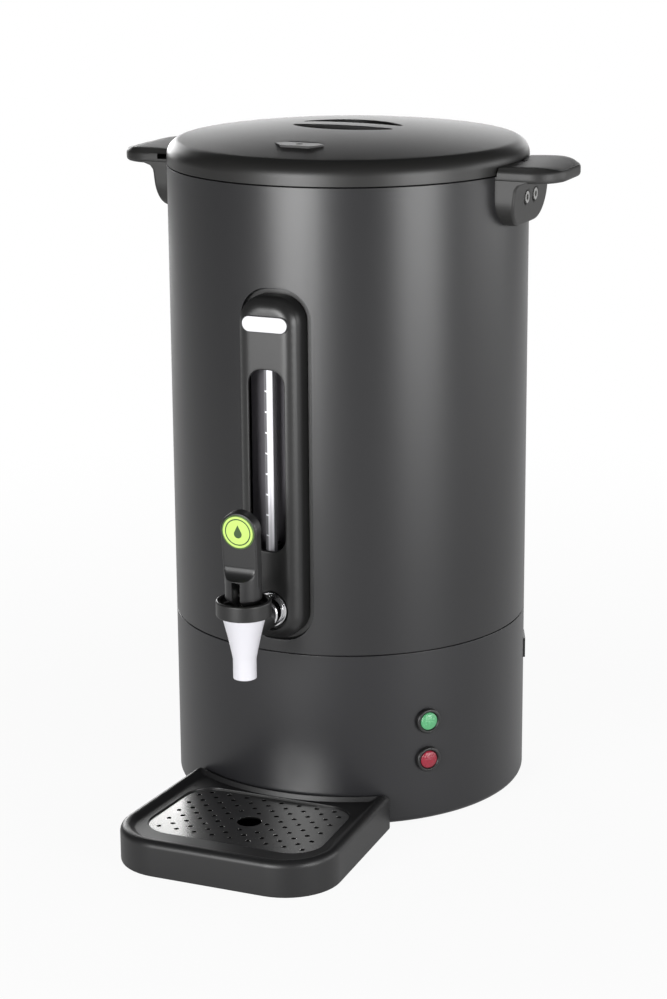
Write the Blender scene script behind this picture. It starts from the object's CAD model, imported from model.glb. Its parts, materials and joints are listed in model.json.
import bpy
import bmesh
import json
from math import sin, cos, tan, asin, acos, atan2, radians, pi, sqrt
from mathutils import Vector, Matrix
from mathutils.geometry import delaunay_2d_cdt
from mathutils.kdtree import KDTree


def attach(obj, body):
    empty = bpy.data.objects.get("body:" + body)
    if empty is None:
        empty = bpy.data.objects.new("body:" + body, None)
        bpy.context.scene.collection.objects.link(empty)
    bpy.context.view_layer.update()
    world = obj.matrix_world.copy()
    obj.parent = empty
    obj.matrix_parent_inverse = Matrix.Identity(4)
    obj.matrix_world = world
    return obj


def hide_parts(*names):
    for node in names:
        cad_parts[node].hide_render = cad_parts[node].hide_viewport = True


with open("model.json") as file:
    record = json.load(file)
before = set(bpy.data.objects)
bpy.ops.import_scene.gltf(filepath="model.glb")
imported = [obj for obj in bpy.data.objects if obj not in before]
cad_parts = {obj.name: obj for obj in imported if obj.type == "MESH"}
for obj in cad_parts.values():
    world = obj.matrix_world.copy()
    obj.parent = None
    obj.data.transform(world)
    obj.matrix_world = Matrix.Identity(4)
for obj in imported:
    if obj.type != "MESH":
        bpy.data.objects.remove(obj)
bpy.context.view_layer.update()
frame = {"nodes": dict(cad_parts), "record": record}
record = frame["record"]
bodyOf = {node: body for body, members in record["behaviour"]["bodies"].items() for node in members}
slotOf = {row["node"]: row["material_slot"] for row in record["subparts"]}
axisY = 0.06125  # the urn's upright axis in the frame, in metres
print("scene: frame loaded")


class Value:
    # one output of a node, so that sums on it add Math nodes
    def __init__(self, paint, socket):
        self.paint = paint
        self.socket = socket

    def math(self, operation, other=0.0, swapped=False):
        ends = {0: other, 1: self} if swapped else {0: self, 1: other}
        return self.paint.add("Math", {"operation": operation}, ends)

    def __add__(self, other):
        return self.math("ADD", other)

    def __radd__(self, other):
        return self.math("ADD", other, True)

    def __sub__(self, other):
        return self.math("SUBTRACT", other)

    def __rsub__(self, other):
        return self.math("SUBTRACT", other, True)

    def __mul__(self, other):
        return self.math("MULTIPLY", other)

    def __rmul__(self, other):
        return self.math("MULTIPLY", other, True)

    def __lt__(self, other):
        return self.math("LESS_THAN", other)

    def __gt__(self, other):
        return self.math("GREATER_THAN", other)

    def __abs__(self):
        return self.math("ABSOLUTE")


class Paint:
    # a material, or the world, being mixed; add() makes any node
    def __init__(self, name, world=None):
        self.target = world or bpy.data.materials.new(name)
        self.target.use_nodes = True
        self.tree = self.target.node_tree
        self.tree.nodes.clear()

    def add(self, kind, settings=None, sockets=None, output=0):
        node = self.tree.nodes.new("ShaderNode" + kind)
        for key, value in (settings or {}).items():
            if key == "stops":
                ramp = node.color_ramp
                while len(ramp.elements) < len(value):
                    ramp.elements.new(0.5)
                for element, (place, colour) in zip(ramp.elements, value):
                    element.position = place
                    element.color = colour
            else:
                setattr(node, key, value)
        for key, value in (sockets or {}).items():
            if isinstance(value, Value):
                self.tree.links.new(value.socket, node.inputs[key])
            else:
                node.inputs[key].default_value = value
        return Value(self, node.outputs[output]) if len(node.outputs) else None

    def place(self):
        return self.add("TexCoord", output="Object")

    def axes(self):
        spot = self.place()
        return [self.add("SeparateXYZ", {}, {0: spot}, output=i) for i in range(3)]

    def noise(self, scale, detail=2.0, roughness=0.5, vector=None):
        sockets = {"Vector": vector or self.place(), "Scale": scale, "Detail": detail, "Roughness": roughness}
        return self.add("TexNoise", {}, sockets)

    def blend(self, factor, first, second):
        return self.add("Mix", {"data_type": "RGBA"}, {0: factor, 6: first, 7: second}, output=2)

    def bump(self, height, strength, distance):
        return self.add("Bump", {}, {"Height": height, "Strength": strength, "Distance": distance})

    def surface(self, **sockets):
        names = {key.replace("_", " "): value for key, value in sockets.items()}
        shader = self.add("BsdfPrincipled", {}, names)
        self.add("OutputMaterial", {}, {"Surface": shader})
        return self.target


def shade(grey, tint=(1.0, 1.0, 1.0)):
    return (grey * tint[0], grey * tint[1], grey * tint[2], 1.0)


def camel(name):
    first, *rest = name.split("_")
    return first + "".join(part.capitalize() for part in rest)


def coatedMetal(name, grey, rough, tint):
    # powder coat: fine pebble, faint cloudiness in colour and sheen
    paint = Paint(name)
    cloud = paint.noise(9.0, 3.0)
    colour = paint.blend(cloud, shade(grey * 0.92, tint), shade(grey * 1.08, tint))
    normal = paint.bump(paint.noise(1500.0, 1.0), 0.10, 0.00025)
    return paint.surface(Base_Color=colour, Roughness=cloud * 0.05 + (rough - 0.025), Normal=normal)


def mouldedPlastic(name, grey, rough, tint=(1.0, 1.0, 1.0)):
    paint = Paint(name)
    grain = paint.noise(1400.0)
    colour = paint.blend(paint.noise(14.0), shade(grey * 0.9, tint), shade(grey * 1.1, tint))
    normal = paint.bump(grain, 0.12, 0.0002)
    return paint.surface(Base_Color=colour, Roughness=grain * 0.08 + (rough - 0.04), Normal=normal)


trayValues = {"front": -255.0, "halfFront": 85.0, "halfRear": 77.0, "rear": -90.1, "corner": 40.0,
              "skin": 132.5, "top": 26.5, "step": 14.0, "round": 5.0, "deck": 22.9, "ledge": 20.8,
              "ledgeWide": 4.0, "floor": 2.5, "plateFront": -229.0, "plateRear": -138.0,
              "plateHalfFront": 68.0, "plateHalfRear": 63.0, "plateFrontCorner": 23.0,
              "plateRearCorner": 20.0, "plateTop": 22.0, "plateThick": 1.2, "hole": 1.8, "pitch": 14.0,
              "row": 8.0, "drain": 9.0, "drainY": -185.0}
shadedValues = {"rimRadius": 0.125, "rimLow": 0.4695, "rimHigh": 0.4707, "plateLow": 0.015,
                "plateEdge": 0.00012, "tone": 0.008, "rougher": 0.5}


def rolledRim(x, y, z):
    # the tank's rim between the body and the lid
    v = shadedValues
    out = y - axisY
    return (x * x + out * out > v["rimRadius"] ** 2) * (z > v["rimLow"]) * (z < v["rimHigh"])


def holeWall(x, y, z):
    # walls of the holes in the drip plate
    v = shadedValues
    return (z > v["plateLow"]) * (z < trayValues["plateTop"] / 1000 - v["plateEdge"])


def turnedMetal(name, colour, rough, streak=(1.0, 1.0, 1.0), shaded=None):
    # metal with fine streaks along one direction, dull where it lies in shade
    paint = Paint(name)
    stretched = paint.add("Mapping", {}, {"Vector": paint.place(), "Scale": streak})
    grain = paint.noise(600.0, 2.0, 0.6, stretched)
    tone = paint.blend(grain, shade(0.88, colour), shade(1.0, colour))
    roughness = grain * 0.12 + (rough - 0.06)
    if shaded:
        dull = shaded(*paint.axes())
        tone = paint.blend(dull, tone, shade(shadedValues["tone"]))
        roughness = roughness + dull * shadedValues["rougher"]
    return paint.surface(Base_Color=tone, Roughness=roughness, Metallic=1.0)


# Grey, roughness and tint of each coat and plastic; colour, roughness, streaks and shaded part of each metal
coatValues = {"body_coat": (0.013, 0.33, (1.0, 1.0, 1.08)), "base_coat": (0.013, 0.35, (1.0, 1.0, 1.12))}
plasticValues = {
    "lid_plastic": (0.012, 0.40, (1.02, 1.0, 0.96)),
    "handle_plastic": (0.012, 0.48, (1.02, 1.0, 0.96)),
    "panel_plastic": (0.014, 0.34),
    "lever_plastic": (0.010, 0.38, (1.0, 1.0, 1.04)),
    "tray_plastic": (0.008, 0.42, (1.0, 1.0, 1.06)),
    "trim_black": (0.008, 0.40),
    "inner_plastic": (0.10, 0.50),
    "pale_spout": (0.62, 0.30, (1.0, 0.99, 1.05)),
    "scale_print": (0.13, 0.45, (1.05, 1.0, 1.12)),
    "silicone": (0.02, 0.60),
    "foot_rubber": (0.015, 0.70),
    "rocker_green": (0.35, 0.25, (0.2, 1.0, 0.4)),
    "wire_cover": (0.20, 0.40, (1.0, 0.2, 0.15)),
}
metalValues = {
    "steel": ("brushedSteel", (0.62, 0.62, 0.60), 0.30, (1.0, 1.0, 40.0), rolledRim),
    "grille_steel": ("plateSteel", (0.60, 0.60, 0.59), 0.20, (30.0, 1.0, 1.0), holeWall),
    "chrome_trim": ("chromeTrim", (0.80, 0.80, 0.81), 0.10),
    "screw_steel": ("screwSteel", (0.58, 0.58, 0.57), 0.28),
    "brass_fitting": ("brassFitting", (0.62, 0.45, 0.20), 0.28),
    "cast_heater": ("castHeater", (0.55, 0.55, 0.56), 0.55),
}
finishes = {slot: coatedMetal(camel(slot), *values) for slot, values in coatValues.items()}
finishes.update({slot: mouldedPlastic(camel(slot), *values) for slot, values in plasticValues.items()})
finishes.update({slot: turnedMetal(*values) for slot, values in metalValues.items()})

# The sight glass: its ticks, and its brightness by the angle round it from the front toward +X
sightValues = {"y": -0.07895, "firstTick": 0.2237, "tickStep": 0.01494, "tickHalf": 0.0006, "tickFrom": -44.0,
               "tickTo": 0.0, "lastTick": 0.3283, "shadeTop": 0.238, "turnFrom": -90.0, "turnSpan": 190.0,
               "tint": (0.99, 0.98, 1.03), "stripes": (
                   (-90.0, 0.20), (-66.0, 0.30), (-38.0, 0.26), (-30.0, 0.14), (-17.0, 0.16),
                   (-8.0, 0.62), (0.0, 0.86), (14.0, 0.66), (26.0, 0.70), (34.0, 0.92), (46.0, 0.86),
                   (53.0, 0.16), (60.0, 0.05), (67.0, 0.12), (92.0, 0.14), (100.0, 0.03))}


def sightGlass():
    v = sightValues
    paint = Paint("sightGlass")
    x, y, z = paint.axes()
    turn = x.math("ARCTAN2", v["y"] - y) * (180.0 / pi)
    low, span = v["turnFrom"], v["turnSpan"]
    stops = [((place - low) / span, shade(grey, v["tint"])) for place, grey in v["stripes"]]
    tone = paint.add("ValToRGB", {"stops": stops}, {0: (turn - low) * (1.0 / span)})
    count = (z - v["firstTick"]) * (1.0 / v["tickStep"])
    off = abs(count - count.math("ROUND"))
    tick = (off < v["tickHalf"] / v["tickStep"]) * (turn > v["tickFrom"]) * (turn < v["tickTo"])
    tick = tick * (z > v["firstTick"] - 0.002) * (z < v["lastTick"] + 0.002)
    marked = paint.blend(tick, tone, (0.95, 0.95, 0.98, 1.0))
    depth = paint.add("MapRange", {}, {0: z, 1: v["firstTick"] - 0.008, 2: v["shadeTop"], 3: 0.55, 4: 0.0})
    shaded = paint.blend(depth, marked, (0.10, 0.10, 0.11, 1.0))
    return paint.surface(Base_Color=shaded, Roughness=0.12, Emission_Color=shaded, Emission_Strength=0.12)


blankBadgeValues = {"straight": 0.0116, "height": 0.3764, "edge": 0.0053}


def blankBadge():
    # bare pale plate with a thin dark edge round its ends
    v = blankBadgeValues
    paint = Paint("badgePlate")
    x, _, z = paint.axes()
    beyond = (abs(x) - v["straight"]).math("MAXIMUM")
    up = z - v["height"]
    edge = beyond * beyond + up * up > v["edge"] ** 2
    tone = paint.blend(paint.noise(60.0), (0.60, 0.60, 0.62, 1.0), (0.66, 0.66, 0.68, 1.0))
    return paint.surface(Base_Color=paint.blend(edge, tone, (0.03, 0.03, 0.032, 1.0)), Roughness=0.30)


leverBadgeValues = {"height": 0.23993, "rim": 0.0113, "ring": 0.0093, "ringThin": 0.00045, "drop": 0.0030,
                    "dropLow": 0.0014, "tip": 0.0066, "joint": 0.00138, "taper": 0.51}


def leverBadge():
    # light green disc with a darker rim, a thin ring and a plain drop
    v = leverBadgeValues
    paint = Paint("greenBadge")
    x, _, z = paint.axes()
    up = z - v["height"]
    spread = x * x + up * up
    ring = (spread > (v["ring"] - v["ringThin"]) ** 2) * (spread < (v["ring"] + v["ringThin"]) ** 2)
    rise = up + v["dropLow"]
    bowl = x * x + rise * rise < v["drop"] ** 2
    cone = (rise > v["joint"]) * (abs(x) < (v["tip"] - rise) * v["taper"])
    motif = bowl.math("MAXIMUM", cone).math("MAXIMUM", ring)
    tone = paint.blend(paint.noise(50.0), (0.44, 0.64, 0.13, 1.0), (0.50, 0.70, 0.16, 1.0))
    tone = paint.blend(motif, tone, (0.03, 0.07, 0.015, 1.0))
    tone = paint.blend(spread > v["rim"] ** 2, tone, (0.06, 0.12, 0.02, 1.0))
    return paint.surface(Base_Color=tone, Roughness=0.35)


def litLens(name, colour, glow):
    paint = Paint(name)
    pebble = paint.noise(900.0, 1.0)
    tone = paint.blend(pebble, shade(0.6, colour), shade(1.0, colour))
    return paint.surface(Base_Color=tone, Roughness=0.22, Normal=paint.bump(pebble, 0.6, 0.0006),
                         Emission_Color=tone, Emission_Strength=glow)


finishes["sight_glass"] = sightGlass()
finishes["badge_plate"] = blankBadge()
finishes["green_badge"] = leverBadge()
finishes["green_lens"] = litLens("greenLens", (0.10, 0.38, 0.17), 0.16)
finishes["red_lens"] = litLens("redLens", (0.30, 0.02, 0.04), 0.05)
print("scene: materials mixed")

dressedNodes = set()


def finishPiece(piece, node):
    # the piece rides with its node's body, stands for the node and takes its finish
    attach(piece, bodyOf[node])
    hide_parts(node)
    name = slotOf[node]
    piece.data.materials.append(finishes[name])
    dressedNodes.add(node)


def rounded(points, steps=5, closed=True):
    # corners given as (a, b, radius) become runs of points along their arcs
    result = []
    count = len(points)
    for i, (a, b, radius) in enumerate(points):
        here = Vector((a, b))
        if radius <= 0 or (not closed and i in (0, count - 1)):
            result.append((a, b))
            continue
        back = (Vector(points[i - 1][:2]) - here).normalized()
        ahead = (Vector(points[(i + 1) % count][:2]) - here).normalized()
        half = back.angle(ahead) / 2
        centre = here + (back + ahead).normalized() * (radius / sin(half))
        start = here + back * (radius / tan(half)) - centre
        finish = here + ahead * (radius / tan(half)) - centre
        sweep = pi - 2 * half
        for k in range(steps + 1):
            share = k / steps
            spot = centre + (start * sin((1 - share) * sweep) + finish * sin(share * sweep)) / sin(sweep)
            result.append((spot.x, spot.y))
    return result


def divided(loop, longest):
    # long straight runs get points in between
    result = []
    for (a, b), (c, d) in zip(loop, loop[1:] + loop[:1]):
        pieces = max(1, int(sqrt((c - a) ** 2 + (d - b) ** 2) / longest + 0.999))
        result.extend((a + (c - a) * (k / pieces), b + (d - b) * (k / pieces)) for k in range(pieces))
    return result


def circle(radius, steps, x=0.0, y=0.0):
    turns = [2 * pi * k / steps for k in range(steps)]
    return [(x + radius * cos(t), y + radius * sin(t)) for t in turns]


def offset(loop, amount):
    # every point of a counter-clockwise loop moves outward
    result = []
    count = len(loop)
    for i in range(count):
        here = Vector(loop[i])
        before = (here - Vector(loop[i - 1])).normalized()
        after = (Vector(loop[(i + 1) % count]) - here).normalized()
        normal = Vector((before.y + after.y, -before.x - after.x)).normalized()
        lean = max(0.5, normal.dot(Vector((after.y, -after.x))))
        spot = here + normal * (amount / lean)
        result.append((spot.x, spot.y))
    return result


def inside(spot, loop):
    result = False
    u, v = spot
    before = loop[-1]
    for here in loop:
        if (here[1] > v) != (before[1] > v):
            if u < (before[0] - here[0]) * (v - here[1]) / (before[1] - here[1]) + here[0]:
                result = not result
        before = here
    return result


def extent(loop):
    us, vs = zip(*loop)
    return min(us), max(us), min(vs), max(vs)


def raisedTo(height, loop):
    return [(x, y, height) for x, y in loop]


def level(height):
    # a flat sheet at one height, sunk by the depth d
    return lambda x, y, d=0.0: (x, y, height - d)


def joinLoops(shape, loops):
    # an edge loop is extruded from outline to outline, all with the same number of points
    row = [shape.verts.new(spot) for spot in loops[0]]
    edges = [shape.edges.new(pair) for pair in zip(row, row[1:] + row[:1])]
    rows = [row]
    for loop in loops[1:]:
        made = bmesh.ops.extrude_edge_only(shape, edges=edges)["geom"]
        fresh = {item for item in made if isinstance(item, bmesh.types.BMVert)}
        row = [next(e.other_vert(v) for e in v.link_edges if e.other_vert(v) in fresh) for v in row]
        edges = [shape.edges.get(pair) for pair in zip(row, row[1:] + row[:1])]
        for vert, spot in zip(row, loop):
            vert.co = spot
        rows.append(row)
    return rows


def stacked(shape, loops, capped=False):
    # outlines joined one over the other, closed below and, where capped, above
    rows = joinLoops(shape, loops)
    shape.faces.new(list(reversed(rows[0])))
    if capped:
        shape.faces.new(rows[-1])


def sheet(shape, outer, holes, lift, spacing=0.0, ribs=()):
    # a surface over a flat outline with holes, each point raised by lift(u, v)
    # the loops are kept at the precision that the triangulation works in
    outer, *holes = [[tuple(Vector(spot)) for spot in loop] for loop in [outer] + list(holes)]
    points = []
    edges = []
    for loop in [outer] + holes:
        base = len(points)
        points.extend(loop)
        edges.extend((base + i, base + (i + 1) % len(loop)) for i in range(len(loop)))
    for first, second in ribs:
        edges.append((len(points), len(points) + 1))
        points.extend((first, second))
    tree = KDTree(len(points))
    for i, spot in enumerate(points):
        tree.insert((spot[0], spot[1], 0.0), i)
    tree.balance()
    left, right, low, high = extent(outer)
    boxes = [extent(hole) for hole in holes]

    def inOpen(spot):
        if not inside(spot, outer):
            return False
        for hole, (a, b, c, d) in zip(holes, boxes):
            if a < spot[0] < b and c < spot[1] < d and inside(spot, hole):
                return False
        return True

    if spacing:
        columns = int((right - left) / spacing)
        rows = int((high - low) / spacing)
        for i in range(1, columns):
            for k in range(1, rows):
                spot = (left + (right - left) * i / columns, low + (high - low) * k / rows)
                if tree.find((spot[0], spot[1], 0.0))[2] > spacing * 0.55 and inOpen(spot):
                    points.append(spot)
    found = delaunay_2d_cdt([Vector(p) for p in points], edges, [], 0, 1e-7)
    spots = found[0]
    verts = [shape.verts.new(lift(p.x, p.y)) for p in spots]
    for face in found[2]:
        middle = (sum(spots[i].x for i in face) / 3, sum(spots[i].y for i in face) / 3)
        if inOpen(middle):
            shape.faces.new([verts[i] for i in face])


def rimLoops(loop, lift, edge, deep, side, steps=4):
    # from the sheet round its edge and down its wall; side is +1 round a hole, -1 round the outside
    loops = []
    for k in range(steps + 1):
        turn = pi / 2 * k / steps
        ring = offset(loop, side * edge * (1 - sin(turn)))
        loops.append([lift(u, v, edge * (1 - cos(turn))) for u, v in ring])
    loops.append([lift(u, v, deep) for u, v in loop])
    return loops


def plate(shape, outer, holes, lift, deep, edge, spacing=0.0):
    # solid plate between lift depth 0 and deep, with softened front edges
    wide = [offset(hole, edge) for hole in holes]
    sheet(shape, offset(outer, -edge), wide, lambda u, v: lift(u, v, 0.0), spacing)
    joinLoops(shape, rimLoops(outer, lift, edge, deep, -1))
    for hole in holes:
        joinLoops(shape, rimLoops(hole, lift, edge, deep, 1))
    sheet(shape, outer, holes, lambda u, v: lift(u, v, deep), spacing)


def spun(shape, profile, steps=128, matrix=None, closed=True):
    # profile of (radius, height) turned about the upright axis, then moved
    verts = [shape.verts.new((r, 0.0, z)) for r, z in profile]
    edges = [shape.edges.new(pair) for pair in zip(verts, verts[1:])]
    if closed and profile[0][0] > 0 and profile[-1][0] > 0:
        edges.append(shape.edges.new((verts[-1], verts[0])))
    before = set(shape.verts) - set(verts)
    bmesh.ops.spin(shape, geom=verts + edges, cent=(0, 0, 0), axis=(0, 0, 1), dvec=(0, 0, 0), angle=2 * pi,
                   steps=steps, use_merge=True)
    made = [v for v in shape.verts if v not in before]
    bmesh.ops.remove_doubles(shape, verts=made, dist=1e-5)
    if matrix:
        made = [v for v in shape.verts if v not in before]
        bmesh.ops.transform(shape, matrix=matrix, verts=made)


def linked(name, data):
    item = bpy.data.objects.new(name, data)
    bpy.context.scene.collection.objects.link(item)
    return item


def meshPiece(name, shape, smoothAngle=35.0, scaled=True):
    # a bmesh in millimetres about the urn's axis becomes an object, smooth except along its sharp edges
    if scaled:
        bmesh.ops.remove_doubles(shape, verts=shape.verts, dist=0.004)
        bmesh.ops.dissolve_degenerate(shape, dist=1e-5, edges=shape.edges)
        bmesh.ops.recalc_face_normals(shape, faces=shape.faces)
        bmesh.ops.scale(shape, vec=(0.001, 0.001, 0.001), verts=shape.verts)
        bmesh.ops.translate(shape, vec=(0.0, axisY, 0.0), verts=shape.verts)
    limit = radians(smoothAngle)
    for face in shape.faces:
        face.smooth = True
    for edge in shape.edges:
        edge.smooth = len(edge.link_faces) == 2 and edge.calc_face_angle(0.0) < limit
    mesh = bpy.data.meshes.new(name)
    shape.to_mesh(mesh)
    shape.free()
    return linked(name, mesh)


def dressed(name, shape, node, smoothAngle=35.0, scaled=True):
    piece = meshPiece(name, shape, smoothAngle, scaled)
    weighted = piece.modifiers.new("weighted", "WEIGHTED_NORMAL")
    weighted.keep_sharp = True
    finishPiece(piece, node)


def aboutAxis(angle, height=0.0):
    # a piece spun upright is laid along a line out from the urn's axis, angle counted toward +X
    laid = Matrix.Rotation(pi / 2, 4, "X")
    return Matrix.Rotation(radians(angle), 4, "Z") @ Matrix.Translation((0, 0, height)) @ laid


def at(x, y):
    return Matrix.Translation((x, y, 0.0))


def cleanCopy(node):
    # the node's own solid, its loose triangles merged so that it shades smoothly
    shape = bmesh.new()
    shape.from_mesh(frame["nodes"][node].data)
    bmesh.ops.remove_doubles(shape, verts=shape.verts, dist=0.000004)
    dressed(camel(node) + "Copy", shape, node, scaled=False)


# Outer skin of the urn: one rolled wall above the seam, one below
skinValues = {"radius": 132.5, "thick": 1.2, "step": 1.5, "bottom": 133.8, "top": 470.0, "footLip": 8.5,
              "headLip": 5.5, "edge": 0.15, "holeEdge": 0.3, "seamTurn": -180.0, "ribGap": 1.5,
              "ribClear": 0.8}


def crossings(loop, u):
    # where the upright line at u cuts a loop
    found = []
    before = loop[-1]
    for here in loop:
        if (here[0] > u) != (before[0] > u):
            found.append(before[1] + (here[1] - before[1]) * (u - before[0]) / (here[0] - before[0]))
        before = here
    return found


def rolledWall(shape, radius, low, high, holes, seamTurn):
    # cylinder wall as a sheet over (arc length, height), ribbed at every step so that it stays round
    v = skinValues
    step = radians(v["step"])
    count = round(2 * pi / step)
    us = [(radians(seamTurn) + step * i) * v["radius"] for i in range(count + 1)]
    outer = [(u, low) for u in us] + [(u, high) for u in reversed(us)]
    ribs = []
    for u in us[1:-1]:
        blocked = []
        clear = True
        for hole in holes:
            left, right = extent(hole)[:2]
            cuts = crossings(hole, u)
            if cuts:
                blocked.append((min(cuts) - v["ribGap"], max(cuts) + v["ribGap"]))
            elif left - v["ribClear"] < u < right + v["ribClear"]:
                clear = False
        if not clear:
            continue
        start = low
        for bottom, top in sorted(blocked):
            ribs.append(((u, start), (u, bottom)))
            start = top
        ribs.append(((u, start), (u, high)))
    sheet(shape, outer, holes, lambda u, height: turned(u, height, radius), 0.0, ribs)


def turned(u, height, radius):
    turn = u / skinValues["radius"]
    return (radius * sin(turn), -radius * cos(turn), height)


def unrolled(loop, centreTurn=0.0):
    # an outline seen square on becomes one in arc length round the skin
    radius = skinValues["radius"]
    return [(radius * (radians(centreTurn) + asin(u / radius)), v) for u, v in loop]


def panelLoop(half, low, high, corner, steps=8, longest=7.0, topCorner=None):
    top = corner if topCorner is None else topCorner
    corners = [(half, low, corner), (half, high, top), (-half, high, top), (-half, low, corner)]
    return divided(rounded(corners, steps), longest)


def fixedPanelLoop(half, low, high, corner, steps=8, across=3, along=30):
    # the same number of points whatever the size, for skins through several outlines
    loop = []
    corners = [(half - corner, low + corner, -90), (half - corner, high - corner, 0),
               (corner - half, high - corner, 90), (corner - half, low + corner, 180)]
    for i, (u, v, start) in enumerate(corners):
        for k in range(steps + 1):
            turn = radians(start + 90 * k / steps)
            loop.append((u + corner * cos(turn), v + corner * sin(turn)))
        a, b = loop[-1]
        u, v, start = corners[(i + 1) % 4]
        c, d = u + corner * cos(radians(start)), v + corner * sin(radians(start))
        pieces = along if i % 2 == 0 else across
        loop.extend((a + (c - a) * (k / pieces), b + (d - b) * (k / pieces)) for k in range(1, pieces))
    return loop


def arcThrough(a, b, c, steps):
    # points of the circle through three places, from a to c
    ax, ay = a
    bx, by = b
    cx, cy = c
    d = 2 * (ax * (by - cy) + bx * (cy - ay) + cx * (ay - by))
    squares = [p[0] ** 2 + p[1] ** 2 for p in (a, b, c)]
    ux = (squares[0] * (by - cy) + squares[1] * (cy - ay) + squares[2] * (ay - by)) / d
    uy = (squares[0] * (cx - bx) + squares[1] * (ax - cx) + squares[2] * (bx - ax)) / d
    radius = sqrt((ax - ux) ** 2 + (ay - uy) ** 2)
    first = atan2(ay - uy, ax - ux)
    middle = (atan2(by - uy, bx - ux) - first) % (2 * pi)
    last = (atan2(cy - uy, cx - ux) - first) % (2 * pi)
    if middle > last:
        last -= 2 * pi
    return [(ux + radius * cos(first + last * k / steps), uy + radius * sin(first + last * k / steps))
            for k in range(steps + 1)]


def lipProfile(height, side, edge, lip):
    # end of a wall turned in square, its outer edge softened; side is +1 at the top, -1 at the bottom
    radius, thick = skinValues["radius"], skinValues["thick"]
    inner = height - side * thick
    return [(radius, height - side * edge, 0), (radius, height, edge), (radius - lip, height, 0),
            (radius - lip, inner, 0), (radius - thick, inner, 0)]


def rolledSkin(name, node, holes, outerSpan, innerSpan, seamTurn, lips):
    # outer and inner wall, the softened walls of their holes, and the turned-in lips
    v = skinValues
    shape = bmesh.new()
    edge, thick = v["holeEdge"], v["thick"]
    rolledWall(shape, v["radius"], *outerSpan, [offset(hole, edge) for hole in holes], seamTurn)
    rolledWall(shape, v["radius"] - thick, *innerSpan, holes, seamTurn)
    for hole in holes:
        joinLoops(shape, rimLoops(hole, lambda u, w, d: turned(u, w, v["radius"] - d), edge, thick, 1, 3))
    for corners, steps in lips:
        spun(shape, rounded(corners, steps, False), round(360 / v["step"]), closed=False)
    dressed(name, shape, node)


panelValues = {"half": 26.9, "low": 143.0, "high": 398.9, "corner": 22.4, "groove": 3.8,
               "floorRadius": 128.5, "backRadius": 126.5, "border": 3.2, "grooveBend": 0.8, "front": 147.1,
               "round": 10.0, "bulgeCorner": 18.6, "wall": 1.6, "windowHalf": 13.7, "windowLow": 213.0,
               "windowHigh": 344.0, "windowCorner": 10.5, "windowEdge": 0.9, "seatHeight": 169.0,
               "seatRadius": 15.0, "seatFront": 141.1, "bossRadius": 16.0, "bossBack": 119.0, "bore": 7.3}


def buildBodyShell():
    v = skinValues
    p = panelValues
    hole = unrolled(panelLoop(p["half"], p["low"], p["high"], p["corner"]))
    thick, edge, low, high = v["thick"], v["edge"], v["bottom"], v["top"]
    foot, head = lipProfile(low, -1, edge, v["footLip"]), lipProfile(high, 1, edge, v["headLip"])
    rolledSkin("bodyShell", "body_shell", [hole], (low + edge, high - edge), (low + thick, high - thick),
               v["seamTurn"], ((foot, 4), (head, 4)))


baseValues = {"bottom": 2.6, "top": 133.0, "round": 4.4, "edge": 0.5, "flange": 16.1, "lip": 10.5,
              "lampTurn": 48.0, "lampHeights": (80.0, 50.5), "lampHole": 7.3, "switchTurn": 112.0,
              "switchHeight": 99.0, "switchHalf": (10.0, 7.0), "inletHeight": 40.0,
              "inletHalf": (25.2, 11.7), "corner": 1.0, "seamTurn": -150.0}


def buildBaseShell():
    v = baseValues
    radius = skinValues["radius"]
    thick = skinValues["thick"]
    holes = [unrolled(circle(v["lampHole"], 40, 0.0, height), v["lampTurn"]) for height in v["lampHeights"]]
    for (half, tall), height, turn in ((v["switchHalf"], v["switchHeight"], v["switchTurn"]),
                                       (v["inletHalf"], v["inletHeight"], 180.0)):
        holes.append(unrolled(panelLoop(half, height - tall, height + tall, v["corner"], 3), turn))
    edge, bottom, top = v["edge"], v["bottom"], v["top"]
    low = bottom + v["round"]
    flange = radius - v["round"] - v["flange"]
    foot = [(radius, low, 0), (radius, bottom, v["round"]), (flange, bottom, 0), (flange, bottom + thick, 0),
            (radius - thick, bottom + thick, v["round"] - thick), (radius - thick, low, 0)]
    rolledSkin("baseShell", "base_shell", holes, (low, top - edge), (low, top - thick), v["seamTurn"],
               ((foot, 6), (lipProfile(top, 1, edge, v["lip"]), 4)))


lidValues = {"radius": 132.5, "bottom": 470.9, "top": 497.5, "crownRise": 8.0, "crownRadius": 114.5,
             "sheetRadius": 114.0, "shoulderRound": 11.5, "bottomRound": 0.2, "skirtInner": 131.3,
             "linerTop": 476.0, "ceiling": 481.5, "ceilingRadius": 127.0, "barHalf": 8.5, "tip": 41.0,
             "tipRound": 1.6, "reach": 28.0, "depth": 12.0, "recessEdge": 0.9, "recessFoot": 1.2,
             "ventY": -86.0, "ventHalf": 18.6, "ventStraight": 11.05, "ventDeep": 8.6, "ventSeat": 491.6,
             "ventEdge": 0.7, "lugOut": 137.6, "lugHalf": 4.0, "lugLow": 470.6, "lugHigh": 473.0,
             "steps": 240}


def dome(radius):
    v = lidValues
    return v["top"] - v["crownRise"] * (radius / v["crownRadius"]) ** 2


def recess(turn):
    # crescent beside the finger bar, its tips softened
    v = lidValues
    arc = arcThrough((v["tip"], v["barHalf"]), (0.0, v["reach"]), (-v["tip"], v["barHalf"]), 20)
    points = [(v["tip"], v["barHalf"], v["tipRound"])] + [(x, y, 0) for x, y in arc[2:-2]]
    points.append((-v["tip"], v["barHalf"], v["tipRound"]))
    loop = divided(rounded(points, 4), 5.0)
    return [(x * cos(turn) - y * sin(turn), x * sin(turn) + y * cos(turn)) for x, y in loop]


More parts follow.
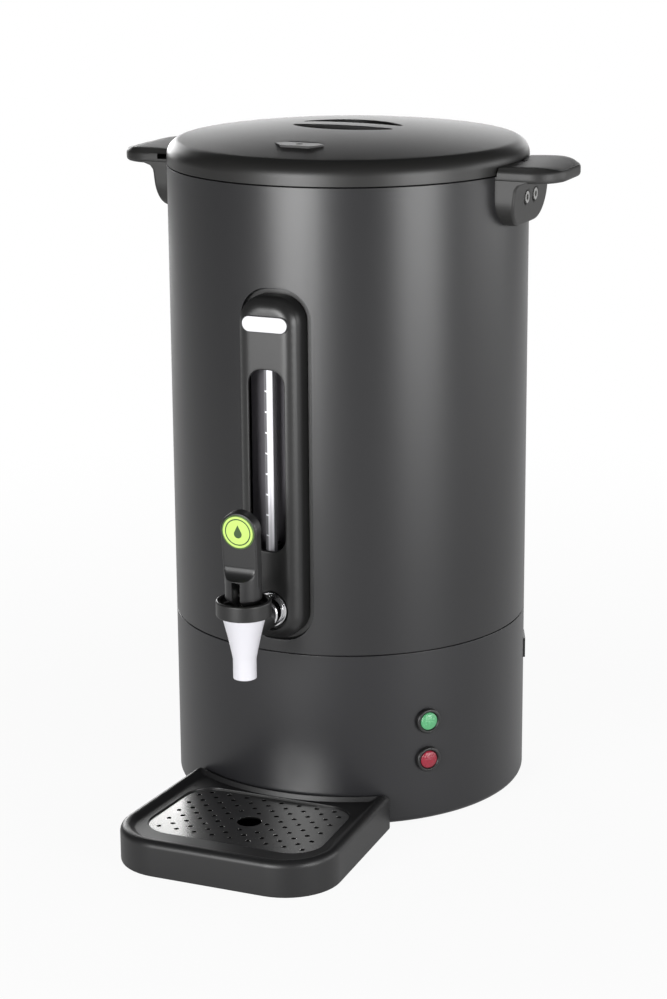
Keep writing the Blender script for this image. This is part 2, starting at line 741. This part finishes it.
def sunk(shape, loop, lift, edge, floor, foot):
    # softened edge, wall and flat floor of a recess
    loops = rimLoops(loop, lift, edge, edge, 1)[:-1]
    loops.append(raisedTo(floor + foot, loop))
    for k in range(1, 5):
        turn = pi / 2 * k / 4
        loops.append(raisedTo(floor + foot * (1 - sin(turn)), offset(loop, -foot * (1 - cos(turn)))))
    joinLoops(shape, loops)
    sheet(shape, offset(loop, -foot), [], level(floor))


def box(shape, low, high):
    made = bmesh.ops.create_cube(shape, size=1.0)["verts"]
    size = [b - a for a, b in zip(low, high)]
    middle = [(a + b) / 2 for a, b in zip(low, high)]
    bmesh.ops.scale(shape, vec=size, verts=made)
    bmesh.ops.translate(shape, vec=middle, verts=made)


def buildLid():
    v = lidValues
    shape = bmesh.new()

    def lift(x, y, d=0.0):
        return (x, y, dome(sqrt(x * x + y * y)) - d)

    crescents = [recess(0.0), recess(pi)]
    wide, straight, deep = v["ventHalf"], v["ventStraight"], v["ventDeep"]
    vent = [(wide, 0, 1.0), (straight, deep, 1.5), (-straight, deep, 1.5), (-wide, 0, 1.0),
            (-straight, -deep, 1.5), (straight, -deep, 1.5)]
    vent = divided([(x, y + v["ventY"]) for x, y in rounded(vent, 4)], 5.0)
    rim = [offset(loop, v["recessEdge"]) for loop in crescents] + [offset(vent, v["ventEdge"])]
    sheet(shape, circle(v["sheetRadius"], v["steps"]), rim, lift, 4.5)
    for loop in crescents:
        sunk(shape, loop, lift, v["recessEdge"], v["top"] - v["depth"], v["recessFoot"])
    sunk(shape, vent, lift, v["ventEdge"], v["ventSeat"], 0.3)
    slope = 2 * v["crownRise"] / v["crownRadius"]
    start = (v["sheetRadius"], dome(v["sheetRadius"]))
    corner = start[1] - slope * (v["radius"] - start[0])
    profile = [start + (0,), (v["radius"], corner, v["shoulderRound"]),
               (v["radius"], v["bottom"], v["bottomRound"]), (v["skirtInner"], v["bottom"], 0),
               (v["skirtInner"], v["linerTop"], 0), (v["ceilingRadius"], v["ceiling"], 0),
               (0.0, v["ceiling"], 0)]
    spun(shape, rounded(profile, 10, False), v["steps"], closed=False)
    for side in (-1, 1):
        inner, outer = sorted((side * (v["skirtInner"] - 0.3), side * v["lugOut"]))
        box(shape, (inner, -v["lugHalf"], v["lugLow"]), (outer, v["lugHalf"], v["lugHigh"]))
    dressed("lidCover", shape, "lid_cover", 40.0)


handleValues = {"half": 36.0, "reach": 173.0, "corner": 23.0, "bottom": 466.0, "edgeTop": 475.0,
                "crownX": 152.75, "crownTop": 477.6, "bracketBottom": 433.0, "bracketOut": 142.5,
                "footOut": 139.6, "fillet": 7.0, "bracketCorner": 20.0, "skin": 132.5, "lidGap": 133.7,
                "channelX": 138.3, "channelLow": 469.7, "channelHigh": 473.6, "notchHalf": 4.6,
                "channelEnd": -29.0, "bodyTop": 470.0, "sideTop": 474.5, "topRound": 3.5, "crownFall": 0.6,
                "crownSpan": 20.0, "bracketLap": 1.5, "screwHeight": 453.0, "screwSpacing": 17.5,
                "screwHole": 4.55}


def handlePlan(kind, inset, sharper):
    # plan of the handle's plate at one level, its inner side as kind says
    v = handleValues
    half, out, corner, notch = v["half"] - inset, v["reach"] - inset, v["corner"] - sharper, v["notchHalf"]
    edges = [half, 24.0, 12.0, notch, notch, 0.0, -notch, -notch, -12.0, -21.0,
             v["channelEnd"], v["channelEnd"], -half]
    inner = []
    for i, y in enumerate(edges):
        radius = v["skin"] if kind in ("skin", "channelLow") else v["lidGap"]
        x = sqrt(radius * radius - y * y)
        if kind in ("channelLow", "channel") and i <= 10:
            x = v["channelX"]
        if kind == "notch" and 4 <= i <= 6:
            x = v["channelX"]
        inner.append((x, y))
    first, last = inner[0][0], inner[-1][0]
    corners = [(out, -half, corner), (out, half, corner), (first, half, 0), (last, -half, 0)]
    outline = rounded(corners, 10)[:22]
    side = [(last + (outline[0][0] - last) * k / 4, -half) for k in range(1, 4)]
    front = [(out, -half + corner + (2 * half - 2 * corner) * k / 5) for k in range(1, 5)]
    back = [(outline[-1][0] + (first - outline[-1][0]) * k / 4, half) for k in range(1, 4)]
    return inner + side + outline[:11] + front + outline[11:] + back


def crown(x):
    v = handleValues
    outer = v["reach"] - v["topRound"]
    if x > v["crownX"]:
        share = (x - v["crownX"]) / (outer - v["crownX"])
        return v["crownTop"] - (v["crownTop"] - v["edgeTop"]) * share * share
    return v["crownTop"] - v["crownFall"] * ((v["crownX"] - x) / v["crownSpan"]) ** 2


def bracketReach(height):
    v = handleValues
    bend = v["bottom"] - v["fillet"]
    if height < bend:
        share = (height - v["bracketBottom"]) / (bend - v["bracketBottom"])
        return v["footOut"] + (v["bracketOut"] - v["footOut"]) * share
    if height > v["bottom"]:
        return v["bracketOut"] + v["fillet"] + (height - v["bottom"]) * 3
    return v["bracketOut"] + v["fillet"] - sqrt(max(0.0, v["fillet"] ** 2 - (height - bend) ** 2))


def buildHandle(name, node, turn):
    v = handleValues
    shape = bmesh.new()
    bottom, low, high, bodyTop = v["bottom"], v["channelLow"], v["channelHigh"], v["bodyTop"]
    # kind of inner side, inset, how much sharper the corners are, height
    levels = [("skin", 2.6, 2.0, bottom), ("skin", 1.2, 1.0, bottom + 0.35),
              ("skin", 0.3, 0.3, bottom + 1.3), ("skin", 0.0, 0.0, bottom + 2.6), ("skin", 0.0, 0.0, low),
              ("channelLow", 0.0, 0.0, low), ("channelLow", 0.0, 0.0, bodyTop),
              ("channel", 0.0, 0.0, bodyTop), ("channel", 0.0, 0.0, high - 1.4),
              ("channel", 0.3, 0.3, high), ("notch", 0.3, 0.3, high), ("notch", 1.0, 1.0, v["sideTop"])]
    loops = [raisedTo(z, handlePlan(kind, inset, sharper)) for kind, inset, sharper, z in levels]
    for inset, sink in ((2.2, 0.35), (v["topRound"], 0.0)):
        loops.append([(x, y, crown(x) - sink) for x, y in handlePlan("notch", inset, 2.0)])
    stacked(shape, loops)
    top = handlePlan("notch", v["topRound"], 2.0)
    clean = [p for i, p in enumerate(top) if (Vector(p) - Vector(top[i - 1])).length > 1e-4]
    sheet(shape, clean, [], lambda x, y: (x, y, crown(x)), 5.0)

    def lift(y, z, d):
        if d > 4.0:
            return (sqrt(v["skin"] ** 2 - y * y), y, z)
        return (bracketReach(z) - d, y, z)

    bracketTop = bottom + v["bracketLap"]
    outline = panelLoop(v["half"], v["bracketBottom"], bracketTop, v["bracketCorner"], 10, 3.0, 0)
    holes = [circle(v["screwHole"], 24, side * v["screwSpacing"] / 2, v["screwHeight"]) for side in (-1, 1)]
    plate(shape, outline, holes, lift, 5.0, 2.2, 2.5)
    bmesh.ops.rotate(shape, cent=(0, 0, 0), matrix=Matrix.Rotation(turn, 3, "Z"), verts=shape.verts)
    dressed(name, shape, node, 32.0)


def bulgeDepth(x, z, inset):
    # distance of the panel's rounded front from the urn's axis, or of its inside when inset by the wall
    v = panelValues
    half = v["half"] - v["groove"] - inset
    low = v["low"] + v["groove"] + inset
    high = v["high"] - v["groove"] - inset
    corner = v["bulgeCorner"] - inset
    across = abs(x) - (half - corner)
    along = abs(z - (low + high) / 2) - ((high - low) / 2 - corner)
    beyond = sqrt(max(across, 0.0) ** 2 + max(along, 0.0) ** 2) + min(max(across, along), 0.0)
    bend = v["round"] - inset
    within = min(max(corner - beyond, 0.0), bend)
    return v["front"] - v["round"] + sqrt(max(0.0, bend * bend - (bend - within) ** 2))


def buildGaugeHousing():
    v = panelValues
    shape = bmesh.new()

    def outline(grow, corner):
        return fixedPanelLoop(v["half"] + grow, v["low"] - grow, v["high"] + grow, corner)

    def onBulge(loop, inset):
        return [(x, -bulgeDepth(x, z, inset), z) for x, z in loop]

    def raised(inset, t):
        loop = fixedPanelLoop(v["half"] - v["groove"] - inset - t, v["low"] + v["groove"] + inset + t,
                              v["high"] - v["groove"] - inset - t, v["bulgeCorner"] - inset - t)
        return loop, onBulge(loop, inset)

    skin = skinValues["radius"] - skinValues["thick"]
    flange = outline(v["border"], v["corner"] + v["border"])
    panel = outline(0.0, v["corner"])
    hollow = raised(v["wall"], 0.0)[0]
    foot = raised(0.0, 0.0)[0]
    innerSteps = [(v["round"] - v["wall"]) * (1 - cos(radians(a))) for a in range(0, 22, 7)]
    outerSteps = [v["round"] * (1 - cos(radians(a))) for a in range(0, 36, 5)]
    bend, back, floor = v["grooveBend"], v["backRadius"], v["floorRadius"]
    loops = [raised(v["wall"], t)[1] for t in reversed(innerSteps)]
    for loop, radius in ((hollow, back), (flange, back), (flange, skin), (panel, skin), (panel, floor + bend),
                         (outline(-bend, v["corner"] - bend), floor), (foot, floor)):
        loops.append([(x, -sqrt(radius * radius - x * x), z) for x, z in loop])
    loops.extend(raised(0.0, t)[1] for t in outerSteps)
    joinLoops(shape, loops)
    window = panelLoop(v["windowHalf"], v["windowLow"], v["windowHigh"], v["windowCorner"], 8, 5.0)
    seat = []
    for x, z in circle(v["seatRadius"], 48):
        scale = 1.0
        while bulgeDepth(x * scale, z * scale + v["seatHeight"], 0.0) < v["seatFront"] + 0.02 and scale > 0.5:
            scale -= 0.002
        seat.append((x * scale, z * scale + v["seatHeight"]))
    outerLoop = raised(0.0, outerSteps[-1])[0]
    innerLoop = raised(v["wall"], innerSteps[-1])[0]
    edge = v["windowEdge"]
    sheet(shape, outerLoop, [offset(window, edge), seat], lambda x, z: (x, -bulgeDepth(x, z, 0.0), z), 1.7)
    sheet(shape, innerLoop, [window, seat], lambda x, z: (x, -bulgeDepth(x, z, v["wall"]), z), 3.5)

    def lift(x, z, d):
        return (x, -(bulgeDepth(x, z, v["wall"]) if d > edge else bulgeDepth(x, z, 0.0) - d), z)

    joinLoops(shape, rimLoops(window, lift, edge, v["wall"], 1))
    joinLoops(shape, [onBulge(seat, 0.0), onBulge(seat, v["wall"])])
    boss = [(v["bore"], v["bossBack"]), (v["bossRadius"], v["bossBack"]), (v["bossRadius"], v["seatFront"]),
            (v["bore"], v["seatFront"])]
    spun(shape, boss, 64, aboutAxis(0.0, v["seatHeight"]))
    dressed("gaugeHousing", shape, "gauge_housing", 32.0)


# Profiles of (radius, height, rounding) turned about the tap's upright axis, or about its arm for the collar
tapValues = {"y": -188.0, "height": 169.0, "spoutBottom": 131.8, "spoutNeck": 146.0, "spoutMiddle": 162.0,
             "spoutRim": 178.0, "threadTop": 180.5, "threadRadius": 13.0, "seat": 152.0, "outlet": 6.3,
             "chamber": 8.4, "spoutRadius": 8.3, "middleRadius": 11.6, "rimRadius": 15.7, "bonnet": 19.6,
             "bonnetTop": 183.0, "bonnetPlay": 0.05, "coverThick": 2.0, "coverRadius": 12.4,
             "stemHole": 3.05, "cupRim": 189.5, "cupRadius": 16.8, "collar": 13.1, "collarStep": 10.6,
             "collarBore": 7.3, "collarFoot": 141.1, "collarRim": 4.3, "collarFront": 156.1}


def buildTap():
    v = tapValues
    upright = at(0, v["y"])
    flare = arcThrough((v["spoutRadius"], v["spoutNeck"]), (v["middleRadius"], v["spoutMiddle"]),
                       (v["rimRadius"], v["spoutRim"]), 14)
    spout = [(v["outlet"], v["spoutBottom"], 0.4), (v["spoutRadius"], v["spoutBottom"], 0.4)]
    spout += [(r, z, 0) for r, z in flare]
    spout += [(v["rimRadius"], v["threadTop"], 0.4), (v["threadRadius"], v["threadTop"], 0),
              (v["threadRadius"], v["spoutRim"] + 0.5, 0), (9.6, 160.0, 0), (v["chamber"], 157.0, 0),
              (v["chamber"], v["seat"], 0), (v["outlet"], v["seat"], 0)]
    wide, cup, floor, within = v["bonnet"], v["cupRadius"], v["bonnetTop"], v["rimRadius"] + v["bonnetPlay"]
    under = floor - v["coverThick"]
    bonnet = [(within, v["spoutRim"], 0), (wide, v["spoutRim"], 0.9), (wide, v["cupRim"], 1.3),
              (cup, v["cupRim"], 1.2), (cup, floor, 1.6), (v["stemHole"], floor, 0),
              (v["stemHole"], under, 0), (v["coverRadius"], under, 0), (v["coverRadius"], v["threadTop"], 0),
              (within, v["threadTop"], 0)]
    bore, ring, step, face = v["collarBore"], v["collar"], v["collarStep"], v["collarFoot"] + v["collarRim"]
    collar = [(bore, v["collarFoot"], 0), (ring, v["collarFoot"], 0), (ring, face, 1.0), (step, face, 0.3),
              (step, v["collarFront"], 1.2), (bore, v["collarFront"], 0.3)]
    for name, node, profile, steps, matrix in (
            ("tapSpout", "tap_spout", spout, 3, upright), ("tapBonnet", "tap_bonnet", bonnet, 6, upright),
            ("tapCollar", "tap_collar", collar, 6, aboutAxis(0.0, v["height"]))):
        shape = bmesh.new()
        spun(shape, rounded(profile, steps), 96, matrix)
        dressed(name, shape, node, 30.0)


leverValues = {"y": -188.0, "low": 186.2, "heel": 8.0, "half": 13.0, "roundTop": 191.0, "slotHalf": 3.2,
               "slotTop": 204.8, "blockTop": 206.0, "face": -193.4, "thick": 8.0, "step": 213.0,
               "scoop": 6.0, "lean": 4.0, "discHeight": 240.0, "discRadius": 14.0, "badge": 12.4,
               "badgeThick": 1.1, "badgeSink": 0.6}


def segment(radius, side, y):
    # part of a round plan beyond the slot on one side
    v = leverValues
    limit = acos(v["slotHalf"] / radius)
    turns = [-limit + 2 * limit * k / 20 for k in range(21)]
    points = [(side * radius * cos(t), y + radius * sin(t)) for t in turns]
    return points if side > 0 else list(reversed(points))


def buildLever():
    v = leverValues
    y = v["y"]
    shape = bmesh.new()
    for side in (-1, 1):
        levels = [(v["heel"] - 0.5, v["low"]), (v["heel"], v["low"] + 0.2),
                  (v["half"] - 0.4, v["roundTop"] - 0.5), (v["half"], v["roundTop"] + 0.2),
                  (v["half"], v["slotTop"])]
        stacked(shape, [raisedTo(z, segment(radius, side, y)) for radius, z in levels], True)
    frontArc = arcThrough((v["blockTop"] - 0.6, y - v["half"]), (v["blockTop"] + 1.8, v["face"] - 2.8),
                          (v["step"] + 1.0, v["face"] - 0.2), 8)
    top = v["step"] + v["scoop"]
    near, far = y - v["half"], y + v["half"]
    levels = [(v["slotTop"], near, far), (v["blockTop"] - 0.6, near, far - 0.8)]
    for z, front in frontArc[1:]:
        share = (z - v["blockTop"]) / (top - v["blockTop"])
        levels.append((z, front, far - 2.5 - 9.0 * max(0.0, share)))
    levels.append((top, v["face"] + 3.0, y + 1.1))
    plan = circle(v["half"], 64, 0.0, y)
    loops = [[(px, min(max(py, front), back), z) for px, py in plan] for z, front, back in levels]
    stacked(shape, loops, True)
    lean = radians(v["lean"])

    def lift(x, z, d):
        up = z - v["step"]
        return (x, v["face"] + d * cos(lean) - up * sin(lean), v["step"] + d * sin(lean) + up * cos(lean))

    wide = v["half"]
    half = v["discRadius"]
    arc = [(half * cos(radians(t)), v["discHeight"] + half * sin(radians(t))) for t in range(-16, 197, 6)]
    paddle = divided([(-wide, v["blockTop"] - 6.0), (wide, v["blockTop"] - 6.0)] + arc, 3.0)
    plate(shape, paddle, [], lift, v["thick"], 1.5, 3.0)
    dressed("tapLever", shape, "tap_lever", 32.0)

    shape = bmesh.new()
    disc = circle(v["badge"], 96, 0.0, v["discHeight"])
    front = v["badgeSink"] - v["badgeThick"]
    plate(shape, disc, [], lambda x, z, d: lift(x, z, front + d), v["badgeThick"], 0.4, 3.0)
    dressed("tapBadge", shape, "tap_badge", 30.0)


def trayLoop(inset, rearInset, gap):
    # plan of the tray: rounded front, slightly narrower behind, hollow arc against the base
    v = trayValues
    front = v["front"] + inset
    wide = v["halfFront"] - inset
    narrow = v["halfRear"] - inset * 0.8
    radius = v["skin"] + gap + rearInset
    y = -radius * 0.8
    for _ in range(30):
        x = narrow + (wide - narrow) * (v["rear"] - y) / (v["rear"] - front)
        y = -sqrt(radius * radius - x * x)
    limit = atan2(x, -y)
    arc = [(radius * sin(limit * k), -radius * cos(limit * k)) for k in [1 - i / 12 for i in range(25)]]
    corner = v["corner"] - inset
    points = [(wide, front, corner), (arc[0][0], arc[0][1], 2.0)]
    points += [(px, py, 0) for px, py in arc[1:-1]]
    points += [(arc[-1][0], arc[-1][1], 2.0), (-wide, front, corner)]
    return rounded(points, 12)


def plateLoop(grow, longest=6.0):
    v = trayValues
    right = [(v["plateHalfFront"] + grow, v["plateFront"] - grow, v["plateFrontCorner"] + grow),
             (v["plateHalfRear"] + grow, v["plateRear"] + grow, v["plateRearCorner"] + grow)]
    left = [(-x, y, corner) for x, y, corner in reversed(right)]
    return divided(rounded(right + left, 12), longest)


def buildTray():
    v = trayValues
    shape = bmesh.new()
    # inset of the plan, inset and gap of its arc against the base, height
    levels = [(1.2, 0.3, 0.3, 0.0), (0.3, 0.0, 0.3, 0.4), (0.0, 0.0, 0.3, 1.4), (0.0, 0.0, 0.3, v["step"]),
              (0.0, 0.0, 1.2, v["step"])]
    for k in range(9):
        turn = pi / 2 * k / 8
        inset = v["round"] * (1 - cos(turn))
        levels.append((inset, inset * 0.3, 1.2, v["top"] - v["round"] * (1 - sin(turn))))
    deck = v["deck"] + 0.2
    levels += [(6.2, 1.9, 1.2, v["top"] - 0.15), (7.6, 2.2, 1.2, v["top"] - 0.8),
               (9.2, 2.6, 1.2, v["top"] - 1.8), (10.8, 3.0, 1.2, v["top"] - 2.7), (12.4, 3.3, 1.2, deck)]
    stacked(shape, [raisedTo(z, trayLoop(inset, rear, gap)) for inset, rear, gap, z in levels])
    pocket = plateLoop(0.3)
    well = plateLoop(-v["ledgeWide"])
    sheet(shape, trayLoop(*levels[-1][:3]), [offset(pocket, 0.4)], level(deck))
    joinLoops(shape, rimLoops(pocket, level(deck), 0.4, deck - v["ledge"], 1))
    sheet(shape, pocket, [well], level(v["ledge"]))
    joinLoops(shape, [raisedTo(v["ledge"], well), raisedTo(v["floor"], well)])
    sheet(shape, well, [], level(v["floor"]))
    dressed("trayBody", shape, "tray_body", 32.0)


def buildGrille():
    v = trayValues
    shape = bmesh.new()
    room = plateLoop(-v["hole"] - 3.0)
    holes = [circle(v["drain"], 48, 0.0, v["drainY"])]
    for row in range(-6, 7):
        y = v["drainY"] + v["row"] * row
        shift = v["pitch"] / 2 if row % 2 else 0.0
        for column in range(-5, 6):
            x = column * v["pitch"] + shift
            if sqrt(x * x + (y - v["drainY"]) ** 2) > v["drain"] + 4.5 and inside((x, y), room):
                holes.append(circle(v["hole"], 14, x, y))
    plate(shape, plateLoop(0.0, 8.0), holes, level(v["plateTop"]), v["plateThick"], 0.12)
    print("scene: drip plate holes", len(holes))
    dressed("trayGrille", shape, "tray_grille", 20.0)


lampPartValues = {"turn": 48.0, "heights": (80.0, 50.5), "tail": 112.0, "face": 132.55, "bore": 6.6,
                  "bezel": 9.4, "front": 136.15, "lens": 6.55, "lensDome": 1.9}


def buildLamps():
    v = lampPartValues
    shape = bmesh.new()
    bore, bezel, face, front = v["bore"], v["bezel"], v["face"], v["front"]
    profile = [(bore, v["tail"], 0), (bore + 0.6, v["tail"], 0), (bore + 0.6, face, 0), (bezel, face, 0),
               (bezel, front, 1.3), (bore + 0.9, front, 0.6), (bore, front - 1.2, 0.3)]
    for height in v["heights"]:
        spun(shape, rounded(profile, 5), 72, aboutAxis(v["turn"], height))
    dressed("lampBezels", shape, "lamp_bezels", 35.0)
    shoulder = front - 1.0
    for node, height in zip(("green_lens", "red_lens"), v["heights"]):
        shape = bmesh.new()
        profile = [(0.0, face - 1.0), (v["lens"], face - 1.0), (v["lens"], shoulder)]
        for k in range(1, 9):
            turn = pi / 2 * k / 8
            profile.append((v["lens"] * cos(turn) if k < 8 else 0.0, shoulder + v["lensDome"] * sin(turn)))
        spun(shape, profile, 64, aboutAxis(v["turn"], height), closed=False)
        dressed(camel(node), shape, node, 40.0)


badgeValues = {"half": 17.5, "halfHeight": 5.9, "height": 376.4, "front": 148.3}


def buildBadge():
    v = badgeValues
    shape = bmesh.new()
    low, high = v["height"] - v["halfHeight"], v["height"] + v["halfHeight"]
    outline = panelLoop(v["half"], low, high, v["halfHeight"] - 0.15, 8, 3.0)

    def lift(x, z, d):
        if d > 1.0:
            return (x, -bulgeDepth(x, z, 0.0) + 0.4, z)
        return (x, -v["front"] + d, z)

    plate(shape, outline, [], lift, 1.1, 0.45, 3.0)
    dressed("badgePlate", shape, "badge", 30.0)


tubeValues = {"y": -140.2, "low": 208.0, "high": 345.0, "outer": 4.1, "inner": 2.9}


def buildTube():
    v = tubeValues
    shape = bmesh.new()
    profile = [(v["inner"], v["low"], 0), (v["outer"], v["low"], 0.3), (v["outer"], v["high"], 0.3),
               (v["inner"], v["high"], 0)]
    spun(shape, rounded(profile, 3), 64, at(0, v["y"]))
    dressed("gaugeTube", shape, "gauge_tube", 30.0)


footValues = {"circle": 96.0, "turns": (45, 135, 225, 315), "radius": 12.0, "seat": 3.8, "stem": 4.0,
              "plateTop": 5.0, "bulb": 6.0, "bulbHeight": 4.0}


def buildFeet():
    v = footValues
    shape = bmesh.new()
    top = v["plateTop"]
    tip = top + v["bulbHeight"]
    profile = [(0.0, 0.0, 0), (v["radius"], 0.0, 1.0), (v["radius"], v["seat"], 0.4),
               (v["stem"], v["seat"], 0), (v["stem"], top, 0), (v["bulb"], top, 0),
               (v["stem"] + 0.5, tip, 0.8), (0.0, tip, 0)]
    for turn in v["turns"]:
        matrix = at(v["circle"] * sin(radians(turn)), -v["circle"] * cos(radians(turn)))
        spun(shape, rounded(profile, 4, False), 48, matrix, closed=False)
    dressed("footPads", shape, "feet", 35.0)


buildBodyShell()
buildBaseShell()
print("scene: skins rolled")
buildLid()
buildHandle("handleRight", "handle_right", 0.0)
buildHandle("handleLeft", "handle_left", pi)
print("scene: lid and handles built")
buildGaugeHousing()
buildBadge()
buildTube()
print("scene: gauge panel built")
buildTap()
buildLever()
print("scene: tap built")
buildTray()
buildGrille()
buildLamps()
buildFeet()
print("scene: tray, lamps and feet built")

for node in frame["nodes"]:
    if node not in dressedNodes:
        cleanCopy(node)
print("scene: solids dressed")


def around(v):
    # a place at a turn counted from the front toward +X, metres from the urn's axis
    turn = radians(v["turn"])
    return Vector((v["distance"] * sin(turn), axisY - v["distance"] * cos(turn), v["height"]))


# Camera: solved from the round edges of the urn
cameraValues = {"turn": 23.3, "distance": 1.896, "height": 0.737, "heading": -0.377, "down": 15.437,
                "roll": -0.413, "lens": 93.52}


def makeCamera():
    v = cameraValues
    heading, down, roll = (radians(v[key]) for key in ("heading", "down", "roll"))
    ahead = Vector((sin(heading) * cos(down), cos(heading) * cos(down), -sin(down)))
    side = Vector((cos(heading), -sin(heading), 0.0))
    above = side.cross(ahead)
    right = side * cos(roll) + above * sin(roll)
    upward = above * cos(roll) - side * sin(roll)
    turn = Matrix.Rotation(radians(v["turn"]), 3, "Z")
    data = bpy.data.cameras.new("camera")
    data.lens = v["lens"]
    data.sensor_width = 36.0
    data.clip_end = 50.0
    camera = linked("camera", data)
    matrix = Matrix([turn @ axis for axis in (right, upward, -ahead)]).transposed().to_4x4()
    matrix.translation = around(v)
    camera.matrix_world = matrix
    bpy.context.scene.camera = camera


# Softboxes, their turns counted as the camera's
lampValues = {
    "leftBox": {"turn": -8.0, "distance": 1.9, "height": 0.42, "wide": 0.95, "tall": 0.85, "power": 33.0},
    "rightBox": {"turn": 67.0, "distance": 1.9, "height": 0.42, "wide": 0.95, "tall": 0.85, "power": 22.0},
    "sideBox": {"turn": 118.0, "distance": 2.2, "height": 0.6, "wide": 1.6, "tall": 1.0, "power": 16.0},
    "backBox": {"turn": 193.0, "distance": 2.6, "height": 0.75, "wide": 1.8, "tall": 0.85, "power": 16.0},
    "backLeftBox": {"turn": 226.0, "distance": 2.6, "height": 0.75, "wide": 1.0, "tall": 0.85, "power": 26.0},
}


def makeLamps():
    for name, v in lampValues.items():
        data = bpy.data.lights.new(name, "AREA")
        data.shape = "RECTANGLE"
        data.size = v["wide"]
        data.size_y = v["tall"]
        data.energy = v["power"]
        lamp = linked(name, data)
        lamp.visible_camera = False
        lamp.location = around(v)
        aim = Vector((0.0, axisY, 0.28)) - around(v)
        lamp.rotation_euler = aim.to_track_quat("-Z", "Y").to_euler()


stageValues = {"floorSize": 30.0, "worldLevel": 0.08, "glow": 0.93, "glossyGlow": 0.40,
               "plainReach": (0.35, 1.1)}


def makeWorld():
    # white to the camera and through glass, dim as a light
    world = bpy.data.worlds.new("studio")
    bpy.context.scene.world = world
    paint = Paint("studio", world)
    camera = paint.add("LightPath", output="Is Camera Ray")
    seen = camera.math("MAXIMUM", paint.add("LightPath", output="Is Transmission Ray"))
    strength = paint.add("MapRange", {}, {0: seen, 3: stageValues["worldLevel"], 4: 1.0})
    white = paint.add("Background", {}, {"Color": (1.0, 1.0, 1.0, 1.0), "Strength": strength})
    paint.add("OutputWorld", {}, {"Surface": white})


def makeFloor():
    shape = bmesh.new()
    bmesh.ops.create_grid(shape, x_segments=1, y_segments=1, size=stageValues["floorSize"] / 2)
    floor = meshPiece("floor", shape, 35.0, False)
    floor.location.z = -0.0002
    paint = Paint("paleFloor")
    plain = paint.add("BsdfDiffuse", {}, {"Color": (0.86, 0.86, 0.86, 1.0)})
    glow = paint.add("Emission", {}, {"Color": (1.0, 1.0, 1.0, 1.0), "Strength": 1.0})
    # white to the camera far off, and near the urn white enough to keep its shadow faint
    near, far = stageValues["plainReach"]
    away = paint.add("VectorMath", {"operation": "DISTANCE"}, {0: paint.place(), 1: (0.0, 0.0, 0.0)}, 1)
    seen = paint.add("MapRange", {}, {0: away, 1: near, 2: far, 3: stageValues["glow"], 4: 1.0})
    camera = paint.add("LightPath", output="Is Camera Ray")
    glossy = paint.add("LightPath", output="Is Glossy Ray")
    share = camera * seen + glossy * stageValues["glossyGlow"]
    mixed = paint.add("MixShader", {}, {0: share, 1: plain, 2: glow})
    paint.add("OutputMaterial", {}, {"Surface": mixed})
    floor.data.materials.append(paint.target)


makeCamera()
makeLamps()
makeWorld()
makeFloor()
bpy.context.scene.view_settings.view_transform = "Standard"
print("scene: stage lit")
